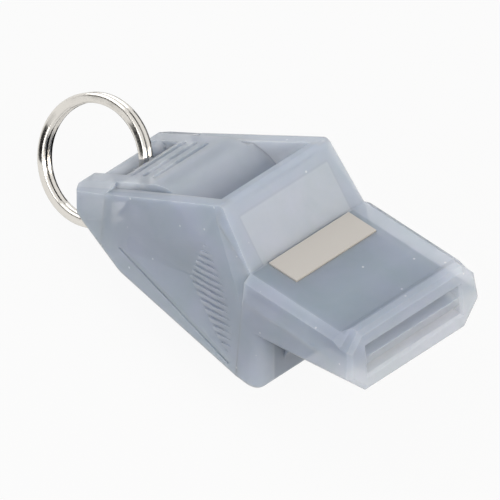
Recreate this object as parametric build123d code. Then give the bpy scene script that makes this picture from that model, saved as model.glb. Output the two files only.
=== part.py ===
from build123d import *
from math import cos, radians, sin, tan
import os

# A sports whistle without a pea, with a split ring hung in its tail. All sizes in millimetres.
# Construction frame: x forward along the mouthpiece, y to the left, z up, with the origin on the
# middle line at the foot of the sloping front plate. The finished pieces are tipped by BASE_TILT
# and set down so that the flat base lies at z = 0 with its middle at the origin.

# Mouthpiece, an eight-sided tube with a raised lip
MOUTH_WIDTH = 20.6
MOUTH_REACH = 17.2
MOUTH_EDGE_WIDE = 1.0
MOUTH_EDGE_TALL = 0.8
LOW_CORNER_WIDE = 2.7
LOW_CORNER_TALL = 3.0
FLOOR_WALL = 2.3
FLOOR_RISE = 7.5
LIP_LENGTH = 1.4
LIP_FLARE = 1.2
LIP_RISE = 0.8
LIP_CORNER_WIDE = 1.9
LIP_CORNER_TALL = 2.1
LIP_SLANT = 6.0
LIP_BEVEL = 0.5
MOUTH_BEVEL = 0.3

# Windways and the divider between them
ROOF_WALL = 1.5
WINDWAY_WIDTH = 15.2
WINDWAY_DEPTH = 4.0
DIVIDER_TOP = 3.2
DIVIDER_THICK = 1.0
DIVIDER_SETBACK = 2.0
DIVIDER_TONGUE = 0.6
DIVIDER_NOSE = 0.35

# Voicing plate in the roof, with the sounding slit behind it
PLATE_WIDTH = 13.0
PLATE_LENGTH = 4.55
PLATE_THICK = 0.8
PLATE_PROUD = 0.2
PLATE_LEDGE = 0.7
PLATE_CLEAR = 0.05
SLIT = 0.25

# Lower sounding window under the root of the mouthpiece
LOWER_WINDOW_WIDTH = 11.0
LOWER_WINDOW_LENGTH = 2.2
LOWER_EDGE = 1.4

# Sloping front plate and the deck behind it
SLOPE_BACK = 5.35
SLOPE_RISE = 6.8
SLOPE_TOP_WIDTH = 17.4
SLOPE_ROUND = 0.8
DECK_ANGLE = 28.2
DECK_LENGTH = 29.7
RIM = 0.9
POCKET_BACK = 9.4
POCKET_DEPTH = 1.2
BARREL_RADIUS = 6.2
BARREL_BACK = 15.6

# Body
BODY_FRONT = 3.9
BODY_SHOULDER = 8.2
FRONT_ROUND = 2.0
BASE_DROP = 14.1
BASE_TILT = 3.5
BASE_SETBACK = 9.7
BASE_FRONT_ROUND = 0.8
BASE_BACK_ROUND = 4.0
TAIL_FACE = 1.9
TAIL_FACE_ROUND = 1.6
TAIL_FLAT = 11.0
TAIL_ROUND = 3.0
SIDE_TAPER = 0.105
SIDE_LEAN = 0.105
WALL = 1.5
ROOT_FILLET = 2.8

# Side covers with the three-faced grip recess
COVER_THICK = 1.6
COVER_SETBACK = 6.0
COVER_NOSE_BACK = 5.7
COVER_NOSE_RISE = 4.4
FACET_DROP = 4.5
GRIP_BACK = (-23.3, -8.6)
GRIP_TOP = (-7.3, 0.5)
GRIP_BULGE = (-2.5, -5.0)
GRIP_LOW = (-1.3, -12.4)
GRIP_PIT = (-10.3, -6.6)
GRIP_DEPTH = 1.0
GRIP_ROUND = 1.2
RIB_PITCH = 0.85
RIB_WIDTH = 0.42
RIB_HEIGHT = 0.3
RIB_ANGLE = 17.0
GROOVE_WIDTH = 0.35
GROOVE_DEPTH = 0.3
GROOVE_OFFSET = 0.7

# Tail block
TAIL_RAISE = 0.7
TAIL_PLATE = 2.4
TAIL_WIDTH = 12.2
SHOULDER_ANGLE = 22.0
SLOT_DEPTH = 1.0
TAIL_LAP = 2.2
TAIL_WALL = 1.3
EAR_LENGTH = 4.5
EAR_ROUND = 1.5
NOTCH_WIDTH = 8.6
TAIL_HOLLOW_WIDTH = 13.8
GRIP_LINES = 3
GRIP_LINE_SETBACK = 0.9
GRIP_LINE_PITCH = 2.12
GRIP_LINE_LENGTH = 8.9
GRIP_LINE_WIDTH = 0.85
GRIP_LINE_DEPTH = 0.45
BAR_DIAMETER = 2.0
BAR_INSET = 3.1
EYE_CLEAR = 0.95

# Split ring of flat wire, two turns
RING_DIAMETER = 16.0
WIRE_RADIAL = 1.2
WIRE_AXIAL = 0.8
WIRE_EDGE = 0.2
TURN_GAP = 0.12
CROSS_ANGLE = 28.0
RING_CLEAR = 0.95
RING_LEAN = 26.0
RING_YAW = 10.0
RING_DROOP = 12.0
RING_SIDE = -1.1

# Slope of the bevel round the open mouth
BEVEL_ANGLE = 45.0

MOUTH_HALF = MOUTH_WIDTH / 2
WINDWAY_ROOF = -ROOF_WALL
WINDWAY_FLOOR = -ROOF_WALL - WINDWAY_DEPTH
DIVIDER_FLOOR = -DIVIDER_TOP - DIVIDER_THICK
SEAM = -DIVIDER_TOP - DIVIDER_THICK / 2
LIP_START = MOUTH_REACH - LIP_LENGTH - LIP_FLARE
DIVIDER_FRONT = MOUTH_REACH - DIVIDER_SETBACK
BAR_RADIUS = BAR_DIAMETER / 2
RING_INNER = RING_DIAMETER / 2 - WIRE_RADIAL
EYE_RADIUS = BAR_RADIUS + RING_CLEAR + WIRE_RADIAL + EYE_CLEAR
TAIL_FLOOR = TAIL_RAISE - TAIL_PLATE
DECK_RUN = cos(radians(DECK_ANGLE))
DECK_FALL = sin(radians(DECK_ANGLE))

# Places along x: the tail's end, what is measured from it, and the chambers' end, where the
# underside of the tail's top plate comes down to the underside of the divider
TAIL_END = -SLOPE_BACK - DECK_LENGTH * DECK_RUN
BASE_END = TAIL_END + BASE_SETBACK
COVER_END = TAIL_END + COVER_SETBACK
CHAMBER_END = -SLOPE_BACK - (SLOPE_RISE + TAIL_FLOOR / DECK_RUN - DIVIDER_FLOOR) * DECK_RUN / DECK_FALL
JOINT = CHAMBER_END + TAIL_LAP

# Room for cuts that run right through
BEYOND = MOUTH_REACH + DECK_LENGTH + BASE_DROP


def base_height(x):
    """Height of the flat base below the foot at the place x."""
    return -BASE_DROP - x * tan(radians(BASE_TILT))


def floor_height(x):
    """Height of the mouthpiece's outer floor, which rises to one wall under the windway at the lip."""
    return WINDWAY_FLOOR - FLOOR_WALL - (MOUTH_REACH - x) * tan(radians(FLOOR_RISE))


def rail_height(x):
    """Height of the rail line at the place x."""
    return SLOPE_RISE + (x + SLOPE_BACK) * DECK_FALL / DECK_RUN


def above_rail(x, up):
    """Side-view point over the place x, a square distance up from the rail line."""
    return (x, rail_height(x) + up / DECK_RUN)


def deck(back, up):
    """Side-view point measured back along the deck from the slope's top edge, and up from the rails."""
    x = -SLOPE_BACK - back * DECK_RUN - up * DECK_FALL
    z = SLOPE_RISE - back * DECK_FALL + up * DECK_RUN
    return (x, z)


def side_face(*points):
    """A face in the side view, from its corners."""
    return Plane.XZ * make_face(Polyline(*points, close=True))


def across(face, width=2 * BEYOND):
    """A side-view face drawn out evenly to both sides."""
    return extrude(face, width / 2, both=True)


def rounded(face, corner, radius):
    """The side-view face with the corner nearest to the given point rounded."""
    place = Vector(corner[0], 0, corner[1])
    return fillet(face.vertices().sort_by_distance(place)[0], radius)


def half_width(x, z):
    """Half width at a place on the leaning sides, which taper behind the foot of the slope."""
    return MOUTH_HALF + SIDE_TAPER * min(x, 0) - SIDE_LEAN * (z + MOUTH_EDGE_TALL)


def side_plane(hand, inset=0.0, taper=SIDE_TAPER):
    """Plane of one body side, facing out; hand is 1 on the left and -1 on the right."""
    normal = Vector(-taper, hand, SIDE_LEAN).normalized()
    origin = Vector(0, hand * half_width(0, 0), 0) - normal * inset
    return Plane(origin=origin, z_dir=normal)


def between_sides(inset=0.0):
    """Everything between the two body sides, drawn in by the inset."""
    block = Box(2 * BEYOND, 2 * BEYOND, 2 * BEYOND)
    for hand in (1, -1):
        for taper in (SIDE_TAPER, 0):
            block = split(block, bisect_by=side_plane(hand, inset, taper), keep=Keep.BOTTOM)
    return block


def tail_outline():
    """Plan of the tail's rounded rear corners, open towards the front."""
    flat = TAIL_FLAT / 2
    shoulder = TAIL_END + TAIL_ROUND
    wide = flat + TAIL_ROUND
    edges = [Line((TAIL_END, -flat), (TAIL_END, flat))]
    edges += [RadiusArc((TAIL_END, flat), (shoulder, wide), TAIL_ROUND)]
    edges += [Polyline((shoulder, wide), (shoulder, BEYOND), (BEYOND, BEYOND))]
    edges += [Line((BEYOND, BEYOND), (BEYOND, -BEYOND))]
    edges += [Polyline((BEYOND, -BEYOND), (shoulder, -BEYOND), (shoulder, -wide))]
    edges += [RadiusArc((shoulder, -wide), (TAIL_END, -flat), TAIL_ROUND)]
    return extrude(make_face(edges), BEYOND, both=True)


def body_outline(up=0.0):
    """Side view of the body without the mouthpiece, as far up as the rails or a distance over them."""
    top = deck(0, up)
    rear = above_rail(TAIL_END, up)
    low = (TAIL_END, rail_height(TAIL_END) - TAIL_FACE)
    base_back = (BASE_END, base_height(BASE_END))
    base_front = (BODY_FRONT, base_height(BODY_FRONT))
    shoulder = (BODY_FRONT, -BODY_SHOULDER)
    face = side_face((0, 0), top, rear, low, base_back, base_front, shoulder, (0, -MOUTH_EDGE_TALL))
    face = rounded(face, top, SLOPE_ROUND)
    face = rounded(face, low, TAIL_FACE_ROUND)
    face = rounded(face, base_back, BASE_BACK_ROUND)
    return rounded(face, base_front, BASE_FRONT_ROUND)


def cover_outline():
    """Side view of the region that a side cover takes, past the body's edges below."""
    nose = (-COVER_NOSE_BACK, COVER_NOSE_RISE)
    front = [(COVER_END, -BEYOND), (0, -BEYOND), (0, -MOUTH_EDGE_TALL), nose]
    return side_face(deck(0, 0), above_rail(COVER_END, 0), *front)


def front_zone():
    """Everything ahead of the side covers."""
    nose = (-COVER_NOSE_BACK, COVER_NOSE_RISE)
    top = deck(0, 0)
    corners = [(0, -BEYOND), (0, -MOUTH_EDGE_TALL), nose, top, (top[0], BEYOND), (BEYOND, BEYOND)]
    return across(side_face(*corners, (BEYOND, -BEYOND)))


def mouth_section(x, top, corner):
    """Eight-sided cross-section of the mouthpiece at the place x; its sides lean like the body's."""
    wide, tall = corner
    bottom = floor_height(x)
    upper = (half_width(0, top - tall), top - tall)
    lower = (half_width(0, bottom + LOW_CORNER_TALL), bottom + LOW_CORNER_TALL)
    half = [(upper[0] - wide, top), upper, lower, (lower[0] - LOW_CORNER_WIDE, bottom)]
    other = [(-y, z) for y, z in reversed(half)]
    plane = Plane(origin=(x, 0, 0), x_dir=(0, 1, 0), z_dir=(1, 0, 0))
    return plane * make_face(Polyline(*half, *other, close=True))


def mouthpiece():
    """Solid mouthpiece: a tapering tube whose end flares to the lip."""
    plain = (MOUTH_EDGE_WIDE, MOUTH_EDGE_TALL)
    corner = (LIP_CORNER_WIDE, LIP_CORNER_TALL)
    crest = LIP_START + LIP_FLARE
    ahead = crest + 2 * LIP_LENGTH + LIP_FLARE
    sections = [mouth_section(0, 0, plain), mouth_section(LIP_START, 0, plain)]
    sections += [mouth_section(crest, LIP_RISE, corner), mouth_section(ahead, LIP_RISE, corner)]
    tube = loft(sections, ruled=True)
    slant = radians(LIP_SLANT)
    face = Plane(origin=(MOUTH_REACH, 0, LIP_RISE), z_dir=(cos(slant), 0, sin(slant)))
    tube = split(tube, bisect_by=face, keep=Keep.BOTTOM)
    return chamfer(tube.faces().sort_by(Axis.X)[-1].edges(), LIP_BEVEL)


def root_web():
    """Hollow curve that carries the mouthpiece's floor down into the lower front wall."""
    reach = ROOT_FILLET
    corner = (BODY_FRONT, floor_height(BODY_FRONT))
    ahead = BODY_FRONT + reach
    below = corner[1] - reach
    points = [(0, SEAM), (ahead, SEAM), (ahead, floor_height(ahead)), corner, (BODY_FRONT, below), (0, below)]
    face = rounded(side_face(*points), corner, ROOT_FILLET)
    return across(face, WINDWAY_WIDTH)


def upper_zones(inset, end, bottom):
    """Side view of slope, pocket floor, barrel and tail, drawn in, back to a place and down to a level."""
    low = bottom - inset
    pocket = [deck(SLOPE_ROUND + RIM, 0), (-POCKET_BACK, -POCKET_DEPTH)]
    wedge = side_face((0, low), (0, 0), deck(0, 0), *pocket, (-POCKET_BACK, low))
    if inset > 0:
        wedge = offset(wedge, -inset)
    crest = deck(BARREL_BACK, TAIL_RAISE - inset)
    far = above_rail(-BEYOND, TAIL_RAISE - inset)
    level = -POCKET_DEPTH - inset
    floor = side_face((-inset, bottom), (-inset, level), (crest[0], level), (crest[0], bottom))
    middle = deck(BARREL_BACK, TAIL_RAISE - BARREL_RADIUS)
    barrel = Plane.XZ * (Pos(*middle) * Circle(BARREL_RADIUS - inset))
    tail = side_face(crest, far, (crest[0], far[1]))
    room = side_face((end, bottom), (0, bottom), (0, BEYOND), (end, BEYOND))
    return (wedge + floor + barrel + tail) & room


def behind(x):
    """Everything further back than the place x."""
    return Pos(x - BEYOND, 0, 0) * Box(2 * BEYOND, 4 * BEYOND, 4 * BEYOND)


def above(z):
    """Everything higher than the level z."""
    return Pos(0, 0, z + BEYOND) * Box(4 * BEYOND, 4 * BEYOND, 2 * BEYOND)


def rounded_front():
    """Everything between the sides and behind the lower front wall, its upright edges rounded."""
    block = between_sides() & behind(BODY_FRONT)
    upright = block.faces().sort_by(Axis.X)[-1].edges().filter_by(Axis.Y, reverse=True)
    return fillet(upright, FRONT_ROUND)


def core_width():
    """The room for the shells: up to the side covers, and up to the body's sides ahead of them."""
    return between_sides(COVER_THICK) + (between_sides() & front_zone())


def windway(top, bottom):
    """One windway, from the chamber to the open mouth."""
    length = MOUTH_REACH + BEYOND
    return Pos(length / 2 - WALL, 0, (top + bottom) / 2) * Box(length, WINDWAY_WIDTH, top - bottom)


def chamber(face):
    """A chamber of the given side view: open to the side covers, walled in ahead of them."""
    narrow = across(face, WINDWAY_WIDTH)
    return narrow + (across(face) - front_zone())


def upper_chamber():
    """The space over the divider, one wall inside the slope, pocket and barrel."""
    space = chamber(upper_zones(WALL, CHAMBER_END, -DIVIDER_TOP))
    return space + windway(WINDWAY_ROOF, -DIVIDER_TOP)


def lower_chamber():
    """The space under the divider, one wall inside the base and the lower front wall."""
    front = BODY_FRONT - WALL
    corners = [(front, DIVIDER_FLOOR), (front, base_height(front) + WALL)]
    corners += [(CHAMBER_END, base_height(CHAMBER_END) + WALL), (CHAMBER_END, DIVIDER_FLOOR)]
    return chamber(side_face(*corners)) + windway(DIVIDER_FLOOR, WINDWAY_FLOOR)


def mouth_bevel():
    """Sloping edge round the open mouth."""
    slant = radians(LIP_SLANT)
    middle = (WINDWAY_ROOF + WINDWAY_FLOOR) / 2
    x = MOUTH_REACH + (LIP_RISE - middle) * tan(slant)
    plane = Plane(origin=(x, 0, middle), x_dir=(0, 1, 0), z_dir=(cos(slant), 0, sin(slant)))
    mouth = Rectangle(WINDWAY_WIDTH + 2 * MOUTH_BEVEL, WINDWAY_DEPTH + 2 * MOUTH_BEVEL)
    return extrude(plane * mouth, -MOUTH_BEVEL, taper=BEVEL_ANGLE)


def divider():
    """Plate between the windways, tongued into the mouthpiece's walls, with a thin front edge."""
    nose = [(DIVIDER_FRONT - 2 * DIVIDER_THICK, -DIVIDER_TOP), (DIVIDER_FRONT, SEAM + DIVIDER_NOSE / 2)]
    nose += [(DIVIDER_FRONT, SEAM - DIVIDER_NOSE / 2), (DIVIDER_FRONT - 2 * DIVIDER_THICK, DIVIDER_FLOOR)]
    plate = side_face(*nose, (CHAMBER_END, DIVIDER_FLOOR), (CHAMBER_END, -DIVIDER_TOP))
    narrow = across(plate, WINDWAY_WIDTH + 2 * DIVIDER_TONGUE)
    return (narrow & front_zone()) + ((across(plate) & between_sides(COVER_THICK)) - front_zone())


def plate_box(grow, top, bottom):
    """The voicing plate's outline, grown all round, between two levels; its rear edge leaves the slit."""
    length = PLATE_LENGTH + 2 * grow
    middle = SLIT + PLATE_LENGTH / 2
    return Pos(middle, 0, (top + bottom) / 2) * Box(length, PLATE_WIDTH + 2 * grow, top - bottom)


def voicing_plate():
    """Flat plate on the ledge of its opening, standing a little proud of the mouthpiece's roof."""
    return plate_box(0, PLATE_PROUD, PLATE_PROUD - PLATE_THICK)


def voicing_window():
    """Opening for the voicing plate, with a ledge, run back to the sounding edge."""
    seat = plate_box(PLATE_CLEAR, BEYOND, PLATE_PROUD - PLATE_THICK)
    hole = plate_box(-PLATE_LEDGE, BEYOND, -BEYOND)
    slit = Pos(SLIT / 2 + PLATE_LEDGE / 2, 0, 0) * Box(SLIT + PLATE_LEDGE, PLATE_WIDTH, 2 * BEYOND)
    through = (hole + slit) & above(WINDWAY_ROOF - WALL)
    return (seat + through) - behind(0)


def on_side(hand, point):
    """The place on one body side that shows at a side-view point."""
    return Vector(point[0], hand * half_width(*point), point[1])


def slope_shoulder(hand):
    """Cut that leaves two narrow facets between the slope and one body side."""
    foot = Vector(0, hand * (MOUTH_HALF - MOUTH_EDGE_WIDE), 0)
    top = Vector(-SLOPE_BACK, hand * SLOPE_TOP_WIDTH / 2, SLOPE_RISE)
    nose = on_side(hand, (-COVER_NOSE_BACK, COVER_NOSE_RISE))
    cut = behind(0)
    for corner in (top, on_side(hand, (0, -FACET_DROP))):
        normal = (corner - foot).cross(nose - foot)
        if normal.Y * hand < 0:
            normal = -normal
        cut = split(cut, bisect_by=Plane(origin=foot, z_dir=normal), keep=Keep.TOP)
    return cut


def side_slots():
    """Grooves on the deck between the tail's raised top and the side covers."""
    front = deck(BARREL_BACK - BARREL_RADIUS, TAIL_RAISE - SLOT_DEPTH)
    back = above_rail(COVER_END, TAIL_RAISE - SLOT_DEPTH)
    strip = across(side_face(front, back, (back[0], BEYOND), (front[0], BEYOND)))
    return strip - Box(4 * BEYOND, TAIL_WIDTH, 4 * BEYOND)


def upper_shell():
    """Mouthpiece roof, sloping front plate, finger pocket and barrel."""
    profile = rounded(upper_zones(0, JOINT, SEAM), deck(0, 0), SLOPE_ROUND)
    body = across(profile) & core_width()
    for hand in (1, -1):
        body -= slope_shoulder(hand)
    shell = body + (mouthpiece() & above(SEAM))
    shell -= upper_chamber()
    shell -= voicing_window()
    shell -= mouth_bevel()
    shell -= side_slots()
    return shell - divider()


def lower_shell():
    """Mouthpiece floor, lower front wall with its sounding edge, and the base."""
    body = across(body_outline()) & core_width() & rounded_front()
    body = (body - above(SEAM)) - behind(CHAMBER_END)
    shell = body + (mouthpiece() - above(SEAM)) + root_web()
    shell -= above(SEAM)
    shell -= lower_chamber()
    shell -= mouth_bevel()
    start = BODY_FRONT + LOWER_EDGE
    window = Box(LOWER_WINDOW_LENGTH, LOWER_WINDOW_WIDTH, 2 * BEYOND)
    shell -= Pos(start + LOWER_WINDOW_LENGTH / 2, 0, 0) * window
    return shell - divider()


def grip_outline(hand):
    """Outline of the grip recess, with a bulging front edge, on one body side."""
    back, top, low = (on_side(hand, point) for point in (GRIP_BACK, GRIP_TOP, GRIP_LOW))
    edges = [Line(low, back), Line(back, top), ThreePointArc(top, on_side(hand, GRIP_BULGE), low)]
    face = make_face(edges)
    return fillet(face.vertices().sort_by_distance(back)[0], GRIP_ROUND)


def grip_recess(hand):
    """Cut of the grip recess: three faces that meet in a pit, the front one with fine ribs."""
    normal = side_plane(hand).z_dir
    pit_place = on_side(hand, GRIP_PIT)
    pit = loft([grip_outline(hand), Vertex(*(pit_place - normal * GRIP_DEPTH))], ruled=True)
    skin = pit - Pos(*(normal * RIB_HEIGHT)) * pit
    top, low = on_side(hand, GRIP_TOP), on_side(hand, GRIP_LOW)
    front = make_face([Line(low, pit_place), Line(pit_place, top),
                       ThreePointArc(top, on_side(hand, GRIP_BULGE), low)])
    ribbed = skin & extrude(front, 2 * GRIP_DEPTH, dir=normal, both=True)
    turn = radians(RIB_ANGLE)
    reach = int((GRIP_TOP[1] - GRIP_LOW[1]) / RIB_PITCH)
    for step in range(-reach, reach + 1):
        shift = step * RIB_PITCH
        place = Pos(GRIP_PIT[0] - shift * sin(turn), 0, GRIP_PIT[1] + shift * cos(turn))
        rib = place * Rot(0, -RIB_ANGLE, 0) * Box(BEYOND, BEYOND, RIB_WIDTH)
        pit -= ribbed & rib
    return pit


def grip_groove(hand):
    """Fine groove on the side below the grip recess, along its lower edge."""
    run = Vector(GRIP_LOW[0] - GRIP_BACK[0], GRIP_LOW[1] - GRIP_BACK[1])
    down = Vector(run.Y, -run.X).normalized()
    near = down * GROOVE_OFFSET
    far = down * (GROOVE_OFFSET + GROOVE_WIDTH)
    start = Vector(*GRIP_BACK) + run.normalized() * GRIP_ROUND
    finish = Vector(*GRIP_LOW)
    flat = [start + near, finish + near, finish + far, start + far]
    corners = [on_side(hand, (corner.X, corner.Y)) for corner in flat]
    return extrude(make_face(Polyline(*corners, close=True)), GROOVE_DEPTH, dir=-side_plane(hand).z_dir)


def side_cover(hand):
    """Side plate of the body with its rail and grip recess; hand is 1 on the left and -1 on the right."""
    plate = across(body_outline() & cover_outline()) & between_sides()
    plate -= between_sides(COVER_THICK)
    plate &= Pos(0, hand * BEYOND, 0) * Box(4 * BEYOND, 2 * BEYOND, 4 * BEYOND)
    plate -= slope_shoulder(hand)
    plate -= grip_recess(hand)
    return plate - grip_groove(hand)


def bar_place():
    """Middle of the lanyard bar, which just reaches the tail's raised top."""
    x, z = deck(DECK_LENGTH - BAR_INSET, TAIL_RAISE - BAR_RADIUS)
    return Pos(x, 0, z)


def along_bar(radius, length):
    """Round bar on the lanyard bar's axis."""
    return bar_place() * Rot(90, 0, 0) * Cylinder(radius, length)


def deck_plane(x, y=0.0, tilt=0.0):
    """Plane on the tail's raised top over the place x, tilted down to the side by an angle."""
    place, height = above_rail(x, TAIL_RAISE)
    lean = radians(tilt)
    normal = (-DECK_FALL * cos(lean), sin(lean), DECK_RUN * cos(lean))
    return Plane(origin=(place, y, height), x_dir=(DECK_RUN, 0, DECK_FALL), z_dir=normal)


def tail_block():
    """Rear plug of the chambers with grip grooves, ears, the ring's eye and the lanyard bar."""
    rear = above_rail(TAIL_END, TAIL_RAISE)
    outline = across(rounded(body_outline(TAIL_RAISE), rear, EAR_ROUND))
    plate = side_face(above_rail(JOINT, TAIL_RAISE), above_rail(-BEYOND, TAIL_RAISE),
                      above_rail(-BEYOND, TAIL_FLOOR), above_rail(JOINT, TAIL_FLOOR))
    block = (outline & behind(CHAMBER_END)) + (outline & across(plate))
    wide = between_sides(COVER_THICK) + (between_sides() & behind(COVER_END))
    block = block & wide & tail_outline()
    for hand in (1, -1):
        shoulder = deck_plane(TAIL_END, hand * TAIL_WIDTH / 2, hand * SHOULDER_ANGLE)
        block = split(block, bisect_by=shoulder, keep=Keep.BOTTOM)
    wall = CHAMBER_END - TAIL_WALL
    hollow = side_face(above_rail(wall, TAIL_FLOOR), above_rail(-BEYOND, TAIL_FLOOR), (-BEYOND, -BEYOND),
                       (wall, -BEYOND))
    block -= across(hollow, TAIL_HOLLOW_WIDTH)
    block -= behind(TAIL_END + EAR_LENGTH) & Box(4 * BEYOND, NOTCH_WIDTH, 4 * BEYOND)
    block -= along_bar(EYE_RADIUS, NOTCH_WIDTH)
    block -= side_slots()
    for line in range(GRIP_LINES):
        back = GRIP_LINE_SETBACK + line * GRIP_LINE_PITCH * DECK_RUN
        slot = Rot(0, 0, 90) * SlotOverall(GRIP_LINE_LENGTH, GRIP_LINE_WIDTH)
        block -= extrude(deck_plane(JOINT - back) * slot, -GRIP_LINE_DEPTH)
    block -= divider()
    return block + along_bar(BAR_RADIUS, NOTCH_WIDTH + 2 * BAR_RADIUS)


def wire_section(turn):
    """Section of the ring's flat wire on one of its two turns, at the start of the ring's circle."""
    middle = RING_INNER + WIRE_RADIAL / 2
    level = (2 * turn - 1) * (WIRE_AXIAL + TURN_GAP) / 2
    wire = Rectangle(WIRE_RADIAL, WIRE_AXIAL)
    return Plane.XZ * (Pos(middle, level) * chamfer(wire.vertices(), WIRE_EDGE))


def split_ring():
    """Flat wire wound in two turns that cross over once at the bar, hung as the photo shows it."""
    start = Rot(0, 0, CROSS_ANGLE / 2)
    finish = Rot(0, 0, -CROSS_ANGLE / 2)
    ring = loft([finish * wire_section(0), start * wire_section(1)], ruled=True)
    for turn in (0, 1):
        ring += start * revolve(wire_section(turn), Axis.Z, 360 - CROSS_ANGLE)
    hang = RING_INNER - BAR_RADIUS - RING_CLEAR
    pose = Rot(0, -RING_DROOP, 0) * Rot(0, 0, RING_YAW) * Rot(-RING_LEAN, 0, 0)
    return bar_place() * Pos(0, RING_SIDE, 0) * pose * Pos(-hang, 0, 0) * Rot(-90, 0, 0) * ring


def main():
    """Build every piece, stand it on the base and write it to its own file."""
    middle = (BODY_FRONT + BASE_END) / 2
    stand = Rot(0, -BASE_TILT, 0) * Pos(-middle, 0, -base_height(middle))
    pieces = {
        "upper_shell": upper_shell(),
        "lower_shell": lower_shell(),
        "windway_divider": divider(),
        "voicing_plate": voicing_plate(),
        "left_side_cover": side_cover(1),
        "right_side_cover": side_cover(-1),
        "tail_block": tail_block(),
        "split_ring": split_ring(),
    }
    os.makedirs("parts", exist_ok=True)
    for name, piece in pieces.items():
        export_step(stand * piece, f"parts/{name}.step")
    bar = (stand * bar_place()).position
    print("lanyard bar axis through", bar)


main()
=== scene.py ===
import math

import bpy
from bpy.props import FloatProperty, FloatVectorProperty, PointerProperty, StringProperty
from mathutils import Matrix, Vector


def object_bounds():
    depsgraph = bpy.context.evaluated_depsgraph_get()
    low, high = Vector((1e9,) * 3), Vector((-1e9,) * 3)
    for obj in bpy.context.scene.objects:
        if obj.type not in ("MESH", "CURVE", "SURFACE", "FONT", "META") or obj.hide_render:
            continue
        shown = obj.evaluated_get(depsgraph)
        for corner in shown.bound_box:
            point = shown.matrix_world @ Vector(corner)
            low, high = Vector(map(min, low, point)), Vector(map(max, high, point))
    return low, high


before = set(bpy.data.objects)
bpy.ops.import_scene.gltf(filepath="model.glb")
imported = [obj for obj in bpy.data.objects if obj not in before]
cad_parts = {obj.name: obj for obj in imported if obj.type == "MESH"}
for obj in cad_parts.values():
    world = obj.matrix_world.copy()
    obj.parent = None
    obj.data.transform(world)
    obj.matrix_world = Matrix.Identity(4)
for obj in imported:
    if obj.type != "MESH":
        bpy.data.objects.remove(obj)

bl_info = {
    "name": "Sports Whistle Finish",
    "version": (1, 0, 0),
    "blender": (4, 5, 0),
    "location": "View3D > Sidebar > Whistle",
    "description": "Finishes a moulded sports whistle with a split ring and sets its studio stage",
    "category": "Object",
}

MM = 0.001
CAD_BOX = [list(corner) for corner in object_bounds()]
PLASTIC_NODES = (
    "upper_shell", "lower_shell", "left_side_cover", "right_side_cover", "tail_block", "windway_divider")
CORNERS = ((-1, -1), (1, -1), (1, 1), (-1, 1))
WHITE = (1.0, 1.0, 1.0, 1.0)
RANGE_INPUTS = ("Value", "From Min", "From Max", "To Min", "To Max")


def linear(code):
    """An sRGB hex colour as a linear RGBA tuple."""
    parts = [int(code[i:i + 2], 16) / 255 for i in (1, 3, 5)]
    light = [c / 12.92 if c <= 0.04045 else ((c + 0.055) / 1.055) ** 2.4 for c in parts]
    return (*light, 1.0)


def add(tree, kind, inputs=None, **settings):
    """Adds a node, sets its own settings, and fills its inputs with values or with other nodes' outputs."""
    node = tree.nodes.new(kind)
    for key, value in settings.items():
        setattr(node, key, value)
    for key, value in (inputs or {}).items():
        socket = node.inputs[key]
        if isinstance(value, bpy.types.Node):
            value = next(output for output in value.outputs if output.enabled)
        if isinstance(value, bpy.types.NodeSocket):
            tree.links.new(value, socket)
        else:
            socket.default_value = value
    return node


def new_material(name):
    """An empty node material and its tree."""
    material = bpy.data.materials.new(name)
    material.use_nodes = True
    material.node_tree.nodes.clear()
    return material, material.node_tree


def dress(node, material):
    """Gives a CAD node its finish."""
    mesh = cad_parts[node].data
    mesh.materials.clear()
    mesh.materials.append(material)


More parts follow.
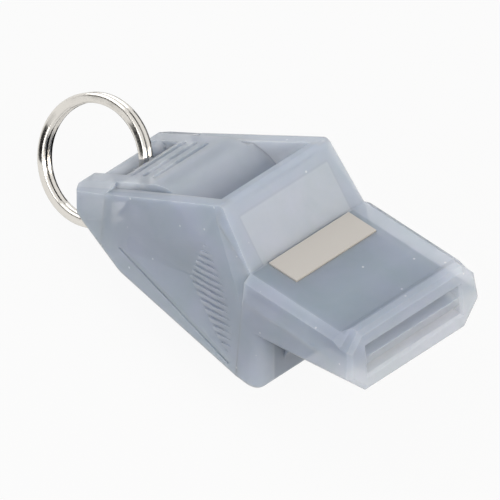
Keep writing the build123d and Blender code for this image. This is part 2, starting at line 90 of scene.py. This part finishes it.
class WhistleFinish(bpy.types.PropertyGroup):
    """Colours and surface sizes of the whistle."""

    plastic_solid: StringProperty(
        name="Plastic, solid", description="Milky plastic along solid edges", default="#AAB4C2")
    # Painted shade: a darker, greener colour for the plastic where the windway shows through.
    windway_painted_shade: StringProperty(
        name="Plastic, windway", description="Milky plastic over the dark windway", default="#919DAC")
    # Painted light: a paler colour for the plastic where the chamber shows through.
    chamber_painted_light: StringProperty(
        name="Plastic, chamber", description="Milky plastic over the lit chamber", default="#B5BDC8")
    plastic_speck: StringProperty(
        name="Speck", description="Pale dust specks on the plastic", default="#E6EAF0")
    plastic_cloud: FloatProperty(
        name="Cloud size", description="Width of the milky clouds in the plastic",
        default=7.0 * MM, unit="LENGTH")
    speck_spacing: FloatProperty(
        name="Speck spacing", description="Mean distance between dust specks",
        default=2.6 * MM, unit="LENGTH")
    cavity_half: FloatProperty(
        name="Cavity half", description="Half width of the windway and chamber that show through",
        default=7.2 * MM, unit="LENGTH")
    windway_near: FloatProperty(
        name="Windway near side", description="Where the windway seems to end on the right",
        default=9.1 * MM, unit="LENGTH")
    cavity_edge: FloatProperty(
        name="Cavity edge", description="Blur of the cavities' outline seen through the plastic",
        default=0.18 * MM, unit="LENGTH")
    chamber_top: FloatProperty(
        name="Chamber top", description="Height of the chamber's roof behind the slope",
        default=18.9 * MM, unit="LENGTH")
    windway_start: FloatProperty(
        name="Windway start", description="Where the windway starts along the whistle",
        default=8.2 * MM, unit="LENGTH")
    windway_end: FloatProperty(
        name="Windway end", description="Where the lip hides the windway",
        default=23.4 * MM, unit="LENGTH")
    lip_fade: FloatProperty(
        name="Lip fade", description="Length over which the plastic clears towards the lip",
        default=5.0 * MM, unit="LENGTH")
    lip_body: FloatProperty(
        name="Lip body", description="Body of the clearer lip, as a share of the other walls' body",
        default=0.72, subtype="FACTOR")
    polish_size: FloatProperty(
        name="Polish size", description="Width of the duller patches on the plastic",
        default=1.5 * MM, unit="LENGTH")
    bleed: FloatProperty(
        name="Bleed", description="How far light spreads inside the plastic",
        default=2.0 * MM, unit="LENGTH")
    body: FloatProperty(
        name="Body", description="Share of the light that each surface of the thin walls stops", default=0.6,
        subtype="FACTOR")
    base_body: FloatProperty(
        name="Base body", description="Share of the light that each surface stops down at the thick base",
        default=0.85, subtype="FACTOR")
    base_depth: FloatProperty(
        name="Base depth", description="Height over which the base thins out into the walls",
        default=8.0 * MM, unit="LENGTH")
    # Painted shade: the plastic's colour is darkened towards the thick base.
    base_painted_shade: FloatProperty(
        name="Base tone", description="Brightness of the plastic down at the thick base", default=0.88)
    # Painted light: the plastic's colour is brightened towards the thin crest.
    crest_painted_light: FloatProperty(
        name="Crest tone", description="Brightness of the plastic up at the thin crest", default=1.07)
    # Painted light: the plastic's colour is brightened towards the open mouth.
    mouth_painted_light: FloatProperty(
        name="Mouth tone", description="Brightness that the plastic gains towards the open mouth",
        default=1.08)
    # Height up to which the painted base shade stays full.
    base_shade_height: FloatProperty(
        name="Tone foot", description="Height up to which the plastic keeps the base's tone",
        default=2.0 * MM, unit="LENGTH")
    plate_colour: StringProperty(
        name="Plate", description="Beige of the voicing plate", default="#A8A5A1")
    plate_grain: FloatProperty(
        name="Plate grain", description="Width of the grain on the plate's matt face",
        default=0.5 * MM, unit="LENGTH")
    plate_grain_depth: FloatProperty(
        name="Plate grain depth", description="Depth of the grain on the plate's matt face",
        default=0.05 * MM, unit="LENGTH")
    ring_colour: StringProperty(
        name="Ring", description="Nickel plate of the split ring", default="#DEDAD3")
    ring_edge: FloatProperty(
        name="Ring edge", description="Rounding of the drawn wire's edges",
        default=0.35 * MM, unit="LENGTH")
    ring_wear: FloatProperty(
        name="Ring wear", description="Width of the patches that handling has dulled",
        default=0.8 * MM, unit="LENGTH")
    ring_wave: FloatProperty(
        name="Ring wave", description="Length of the faint waves along the wound wire",
        default=7.0 * MM, unit="LENGTH")
    ring_wave_depth: FloatProperty(
        name="Ring wave depth", description="Depth of the faint waves along the wire",
        default=0.5 * MM, unit="LENGTH")


class WhistleStage(bpy.types.PropertyGroup):
    """Camera, floor and light."""

    azimuth: FloatProperty(
        name="Azimuth", description="Turn of the view from the right side", default=math.radians(45.4),
        subtype="ANGLE")
    elevation: FloatProperty(
        name="Elevation", description="Height of the view over the mouthpiece's roof",
        default=math.radians(40.2), subtype="ANGLE")
    base_tilt: FloatProperty(
        name="Base tilt", description="Tip of the mouthpiece's roof against the base",
        default=math.radians(3.5), subtype="ANGLE")
    foot: FloatVectorProperty(
        name="Foot", description="Middle of the slope's foot, which the view is measured from",
        default=(8.118 * MM, 0.0, 14.074 * MM), subtype="TRANSLATION", unit="LENGTH")
    aside: FloatProperty(
        name="Aside", description="Middle of the picture, to the left of the foot", default=6.651 * MM,
        unit="LENGTH")
    below: FloatProperty(
        name="Below", description="Middle of the picture, below the foot", default=1.459 * MM, unit="LENGTH")
    picture_width: FloatProperty(
        name="Picture width", description="Width that the picture takes in",
        default=58.05 * MM, unit="LENGTH")
    lens: FloatProperty(
        name="Lens", description="Focal length of the camera, in millimetres", default=1400.0, unit="CAMERA")
    floor_drop: FloatProperty(
        name="Floor drop", description="Room under the resting ring, for its swing down over the floor",
        default=3.0 * MM, unit="LENGTH")
    floor_half: FloatProperty(
        name="Floor half", description="Half width of the floor", default=0.6, unit="LENGTH")
    floor_glow: FloatProperty(
        name="Floor glow", description="Share of the floor's brightness that no shadow dims", default=0.93,
        subtype="FACTOR")
    paper_colour: StringProperty(
        name="Paper", description="Grey level of the floor's paper, which bounces light", default="#A8A8A8")
    card_colour: StringProperty(
        name="Card", description="Black of the cards that the ring reflects", default="#0B0B0C")
    key_power: FloatProperty(
        name="Key light", description="Power of the softbox ahead of the mouth", default=1.95, unit="POWER")
    tail_share: FloatProperty(
        name="Tail share", description="Power of the softbox over the tail, as a share of the key light",
        default=0.38, subtype="FACTOR")
    fill_share: FloatProperty(
        name="Fill share", description="Power of the side softbox, as a share of the key light", default=0.5,
        subtype="FACTOR")
    ambient: FloatProperty(name="Ambient", description="Strength of the surrounding light", default=0.56)


class WHISTLE_OT_shells(bpy.types.Operator):
    """Finish the moulded plastic pieces."""

    bl_idname = "whistle.shells"
    bl_label = "Finish Plastic Shells"

    def execute(self, context):
        material = milky_plastic(context.scene.whistle_finish)
        for name in PLASTIC_NODES:
            dress(name, material)
        return {"FINISHED"}


class WHISTLE_OT_plate(bpy.types.Operator):
    """Finish the beige voicing plate."""

    bl_idname = "whistle.plate"
    bl_label = "Finish Voicing Plate"

    def execute(self, context):
        dress("voicing_plate", beige_plate(context.scene.whistle_finish))
        return {"FINISHED"}


class WHISTLE_OT_ring(bpy.types.Operator):
    """Finish the nickel-plated split ring."""

    bl_idname = "whistle.ring"
    bl_label = "Finish Split Ring"

    def execute(self, context):
        dress("split_ring", nickel_steel(context.scene.whistle_finish))
        return {"FINISHED"}


class WHISTLE_OT_stage(bpy.types.Operator):
    """Set the surrounding light, the floor, the softboxes, the cards and the camera."""

    bl_idname = "whistle.stage"
    bl_label = "Set Stage"

    def execute(self, context):
        stage = context.scene.whistle_stage
        context.scene.view_settings.view_transform = "Standard"
        set_world(context.scene, stage)
        set_floor(stage)
        set_lights(stage)
        set_cards(stage)
        set_camera(context.scene, stage)
        return {"FINISHED"}


def milky_plastic(look):
    """Moulded milky polycarbonate."""
    # Injection-moulded translucent plastic from a polished tool: pale lavender where it is solid. Painted
    # shade makes it darker and greener over the windway, and painted light makes it paler over the chamber,
    # where both show through the thin walls, with a faint painted dark line along their outline. Painted
    # shade darkens it towards the thick base, and painted light brightens it towards the crest and the mouth.
    # It has faint cloudy streaks, a clear gloss on top and a few pale dust specks, and grows clearer towards
    # the lip.
    material, tree = new_material("moulded_milky_polycarbonate")
    place = add(tree, "ShaderNodeTexCoord").outputs["Object"]
    along = add(tree, "ShaderNodeSeparateXYZ", {"Vector": place}).outputs
    aside = add(tree, "ShaderNodeMath", {0: along["Y"]}, operation="ABSOLUTE")
    cloud = add(tree, "ShaderNodeTexNoise", {
        "Vector": place, "Scale": 1 / look.plastic_cloud, "Detail": 4.0, "Roughness": 0.55,
        "Distortion": 0.6}).outputs
    tint = add(tree, "ShaderNodeSeparateColor", {"Color": cloud["Color"]}).outputs
    cells = add(tree, "ShaderNodeTexVoronoi", {
        "Vector": place, "Scale": 1 / look.speck_spacing, "Randomness": 1.0})
    polish = add(tree, "ShaderNodeTexNoise", {
        "Vector": place, "Scale": 1 / look.polish_size, "Detail": 4.0, "Roughness": 0.6})

    # Each row is a value, the two limits between which it counts, and what it gives at either limit.
    half, near, soft = look.cavity_half, look.windway_near, look.cavity_edge
    roof, start, lip = look.chamber_top, look.windway_start, look.windway_end
    rows = {
        "within": (aside, half - soft, half + soft, 1.0, 0.0),
        "left": (along["Y"], half - soft, half + soft, 1.0, 0.0),
        "right": (along["Y"], -near - soft, soft - near, 0.0, 1.0),
        "below": (along["Z"], roof - soft, roof + soft, 1.0, 0.0),
        "behind": (along["X"], lip - soft, lip + soft, 1.0, 0.0),
        "ahead": (along["X"], start, start + soft, 0.0, 1.0),
        "hue": (tint["Red"], 0.3, 0.7, 0.482, 0.520),
        "streak": (cloud["Fac"], 0.3, 0.7, 0.93, 1.06),
        # Painted shade low down, turning into painted light high up.
        "tone": (along["Z"], look.base_shade_height, roof, look.base_painted_shade, look.crest_painted_light),
        # Painted light that grows towards the mouth.
        "mouth": (along["X"], start, lip, 1.0, look.mouth_painted_light),
        "speck": (cells.outputs["Distance"], 0.035, 0.07, 0.7, 0.0),
        "rough": (polish.outputs["Fac"], 0.3, 0.7, 0.28, 0.38),
        "thick": (along["Z"], 0.0, look.base_depth, look.base_body, look.body),
        "clear": (along["X"], lip - look.lip_fade, lip, 1.0, look.lip_body),
    }
    run = {name: add(tree, "ShaderNodeMapRange", dict(zip(RANGE_INPUTS, row))) for name, row in rows.items()}

    # Mask for the painted windway shade and the painted chamber light, where these hollows show through.
    windway = add(tree, "ShaderNodeMath", {0: run["left"], 1: run["right"]}, operation="MULTIPLY")
    cavity = add(tree, "ShaderNodeMix", {"Factor": run["ahead"], "A": run["within"], "B": windway})
    for limit in ("below", "behind"):
        cavity = add(tree, "ShaderNodeMath", {0: cavity, 1: run[limit]}, operation="MULTIPLY")
    # Painted shade: a faint dark line along the outline of the hollows that show through.
    rim = add(tree, "ShaderNodeMath", {0: cavity, 1: 0.5}, operation="PINGPONG")
    outline = add(tree, "ShaderNodeMapRange", dict(zip(RANGE_INPUTS, (rim, 0.0, 0.5, 1.0, 0.9))))
    # Brightness from the random streaks, together with the painted outline shade, the painted shade and light
    # by height, and the painted light towards the mouth.
    value = outline
    for share in ("streak", "tone", "mouth"):
        value = add(tree, "ShaderNodeMath", {0: value, 1: run[share]}, operation="MULTIPLY")
    # Painted light over the chamber and painted shade over the windway.
    cavity_light_and_shade = add(tree, "ShaderNodeMix", {
        "Factor": run["ahead"], "A": linear(look.chamber_painted_light), "B": linear(look.windway_painted_shade)},
        data_type="RGBA")
    # The solid colour, with the painted light and shade laid over the hollows.
    plain = add(tree, "ShaderNodeMix", {
        "Factor": cavity, "A": linear(look.plastic_solid), "B": cavity_light_and_shade}, data_type="RGBA")
    clouded_and_shaded = add(tree, "ShaderNodeHueSaturation", {"Hue": run["hue"], "Value": value, "Color": plain})
    colour = add(tree, "ShaderNodeMix", {
        "Factor": run["speck"], "A": clouded_and_shaded, "B": linear(look.plastic_speck)}, data_type="RGBA")
    body = add(tree, "ShaderNodeMath", {0: run["thick"], 1: run["clear"]}, operation="MULTIPLY")
    shader = add(tree, "ShaderNodeBsdfPrincipled", {
        "Base Color": colour, "IOR": 1.58, "Roughness": run["rough"], "Subsurface Weight": 1.0,
        "Subsurface Radius": (1.0, 1.05, 1.15), "Subsurface Scale": look.bleed, "Alpha": body})
    add(tree, "ShaderNodeOutputMaterial", {"Surface": shader})
    return material


def beige_plate(look):
    """Moulded beige plate."""
    # Plain moulded ABS with a matt tool face: an even beige that hardly shines. The grain is drawn coarser
    # than a real tool face's, so that it shows at all.
    material, tree = new_material("moulded_beige_abs")
    place = add(tree, "ShaderNodeTexCoord").outputs["Object"]
    grain = add(tree, "ShaderNodeTexNoise", {"Vector": place, "Scale": 1 / look.plate_grain, "Detail": 2.0})
    bump = add(tree, "ShaderNodeBump", {
        "Height": grain, "Strength": 0.12, "Distance": look.plate_grain_depth})
    shader = add(tree, "ShaderNodeBsdfPrincipled", {
        "Base Color": linear(look.plate_colour), "Roughness": 0.55, "IOR": 1.53, "Normal": bump})
    add(tree, "ShaderNodeOutputMaterial", {"Surface": shader})
    return material


def nickel_steel(look):
    """Bright nickel on spring steel."""
    # Drawn and tumbled spring wire under bright nickel: a mirror with soft edges, faintly wavy along the wire
    # and slightly dulled in patches by handling.
    material, tree = new_material("bright_nickel_on_spring_steel")
    place = add(tree, "ShaderNodeTexCoord").outputs["Object"]
    wear = add(tree, "ShaderNodeTexNoise", {"Vector": place, "Scale": 1 / look.ring_wear, "Detail": 4.0})
    rough = add(tree, "ShaderNodeMapRange", {"Value": wear, "To Min": 0.05, "To Max": 0.14})
    wave = add(tree, "ShaderNodeTexNoise", {"Vector": place, "Scale": 1 / look.ring_wave, "Detail": 1.0})
    edge = add(tree, "ShaderNodeBevel", {"Radius": look.ring_edge}, samples=8)
    bump = add(tree, "ShaderNodeBump", {
        "Height": wave, "Strength": 1.0, "Distance": look.ring_wave_depth, "Normal": edge})
    shader = add(tree, "ShaderNodeBsdfPrincipled", {
        "Base Color": linear(look.ring_colour), "Metallic": 1.0, "Roughness": rough, "Normal": bump})
    add(tree, "ShaderNodeOutputMaterial", {"Surface": shader})
    return material


def seen_directly(tree):
    """1 for what the eye sees, directly, mirrored or through a clear piece, and 0 for what gives light."""
    path = add(tree, "ShaderNodeLightPath").outputs
    seen = path["Is Camera Ray"]
    for ray in ("Is Glossy Ray", "Is Transmission Ray"):
        seen = add(tree, "ShaderNodeMath", {0: seen, 1: path[ray]}, operation="MAXIMUM")
    return seen


def floor_level(stage):
    """Height of the floor, below the ring's lowest reach."""
    return CAD_BOX[0][2] - stage.floor_drop


def set_world(scene, stage):
    """White surroundings for what the eye and the reflections see, and a softer light for the rest."""
    world = bpy.data.worlds.new("studio_surround")
    world.use_nodes = True
    tree = world.node_tree
    tree.nodes.clear()
    strength = add(tree, "ShaderNodeMapRange", {
        "Value": seen_directly(tree), "To Min": stage.ambient, "To Max": 1.0})
    light = add(tree, "ShaderNodeBackground", {"Color": WHITE, "Strength": strength})
    add(tree, "ShaderNodeOutputWorld", {"Surface": light})
    scene.world = world


def set_floor(stage):
    """Pale floor that keeps a faint shadow."""
    mesh = bpy.data.meshes.new("studio_floor")
    half, low = stage.floor_half, floor_level(stage)
    mesh.from_pydata([(x * half, y * half, low) for x, y in CORNERS], [], [(0, 1, 2, 3)])
    floor = bpy.data.objects.new("studio_floor", mesh)
    bpy.context.scene.collection.objects.link(floor)
    # Matt white paper: even, and almost as bright to the eye as the surroundings, with a little shadow.
    material, tree = new_material("white_paper_sweep")
    paper = add(tree, "ShaderNodeBsdfDiffuse", {"Color": linear(stage.paper_colour)})
    glow = add(tree, "ShaderNodeEmission", {"Color": WHITE, "Strength": 1.0})
    share = add(tree, "ShaderNodeMath", {0: seen_directly(tree), 1: stage.floor_glow}, operation="MULTIPLY")
    mix = add(tree, "ShaderNodeMixShader", {0: share, 1: paper, 2: glow})
    add(tree, "ShaderNodeOutputMaterial", {"Surface": mix})
    mesh.materials.append(material)


def set_lights(stage):
    """A softbox ahead of the mouth, a weaker one over the tail and a fill from the right side."""
    # Each row is a name, the lamp's place, its width, power and colour.
    boxes = (
        ("softbox_front", (0.40, -0.04, 0.25), 0.30, stage.key_power, "#FFF6EA"),
        ("softbox_tail", (-0.30, 0.02, 0.34), 0.36, stage.key_power * stage.tail_share, "#FFFFFF"),
        ("softbox_side", (-0.06, -0.42, 0.20), 0.30, stage.key_power * stage.fill_share, "#FFFFFF"),
    )
    for name, place, size, power, colour in boxes:
        lamp = bpy.data.lights.new(name, "AREA")
        lamp.energy = power
        lamp.color = linear(colour)[:3]
        lamp.size = size
        lamp_object = bpy.data.objects.new(name, lamp)
        lamp_object.location = place
        lamp_object.rotation_euler = Vector(place).to_track_quat("Z", "Y").to_euler()
        bpy.context.scene.collection.objects.link(lamp_object)


def set_cards(stage):
    """Black cards round the stage that show only in reflections, as dark streaks on the bright ring."""
    # Black flock paper: it gives back next to no light.
    material, tree = new_material("black_flock_card")
    flock = add(tree, "ShaderNodeBsdfDiffuse", {"Color": linear(stage.card_colour)})
    add(tree, "ShaderNodeOutputMaterial", {"Surface": flock})
    just_above = floor_level(stage) + 0.2 * MM
    # Each row is a name, the card's middle, the way that it faces, its width and its height.
    cards = (
        ("card_upright", (0.05, 0.40, 0.015), (0, -1, 0), 0.41, 0.13),
        ("card_near", (-0.16, -0.31, 0.12), (0.45, 0.89, -0.2), 0.20, 0.16),
        ("card_ahead", (0.269, -0.146, 0.118), (-0.299, 0.146, -0.108), 0.11, 0.22),
        ("card_laid", (-0.004, 0.044, just_above), (0, 0, 1), 0.088, 0.076),
    )
    for name, place, face, wide, tall in cards:
        mesh = bpy.data.meshes.new(name)
        mesh.from_pydata([(x * wide / 2, y * tall / 2, 0) for x, y in CORNERS], [], [(0, 1, 2, 3)])
        mesh.materials.append(material)
        card = bpy.data.objects.new(name, mesh)
        card.location = place
        card.rotation_euler = Vector(face).to_track_quat("Z", "Y").to_euler()
        for ray in ("camera", "diffuse", "transmission", "shadow"):
            setattr(card, f"visible_{ray}", False)
        bpy.context.scene.collection.objects.link(card)


def set_camera(scene, stage):
    """Camera at the photograph's angle, through a long lens."""
    turn = Matrix.Rotation(-stage.base_tilt, 3, "Y")
    a, e = stage.azimuth, stage.elevation
    right = turn @ Vector((math.cos(a), math.sin(a), 0))
    back = turn @ Vector((math.sin(a) * math.cos(e), -math.cos(a) * math.cos(e), math.sin(e)))
    up = back.cross(right)
    data = bpy.data.cameras.new("photo_view")
    data.lens = stage.lens
    distance = stage.picture_width * stage.lens / data.sensor_width
    aim = Vector(stage.foot) - right * stage.aside - up * stage.below
    camera = bpy.data.objects.new("photo_view", data)
    frame_axes = Matrix((right, up, back)).transposed()
    camera.matrix_world = Matrix.Translation(aim + back * distance) @ frame_axes.to_4x4()
    data.clip_end = 4 * distance
    scene.collection.objects.link(camera)
    scene.camera = camera


class WHISTLE_PT_panel(bpy.types.Panel):
    """Sidebar panel with the whistle's steps."""

    bl_idname = "WHISTLE_PT_panel"
    bl_label = "Sports Whistle"
    bl_space_type = "VIEW_3D"
    bl_region_type = "UI"
    bl_category = "Whistle"

    def draw(self, context):
        for step in ("shells", "plate", "ring", "stage"):
            self.layout.operator(f"whistle.{step}")
        for group in (context.scene.whistle_finish, context.scene.whistle_stage):
            for key in group.__annotations__:
                self.layout.prop(group, key)


CLASSES = (WhistleFinish, WhistleStage, WHISTLE_OT_shells, WHISTLE_OT_plate, WHISTLE_OT_ring,
           WHISTLE_OT_stage, WHISTLE_PT_panel)


def register():
    """Adds the classes and their settings to Blender."""
    for kind in CLASSES:
        bpy.utils.register_class(kind)
    bpy.types.Scene.whistle_finish = PointerProperty(type=WhistleFinish)
    bpy.types.Scene.whistle_stage = PointerProperty(type=WhistleStage)


def unregister():
    """Takes the classes and their settings out again."""
    del bpy.types.Scene.whistle_stage
    del bpy.types.Scene.whistle_finish
    for kind in reversed(CLASSES):
        bpy.utils.unregister_class(kind)


def main():
    """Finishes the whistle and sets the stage."""
    register()
    bpy.ops.whistle.shells()
    bpy.ops.whistle.plate()
    bpy.ops.whistle.ring()
    bpy.ops.whistle.stage()


if __name__ == "__main__":
    main()
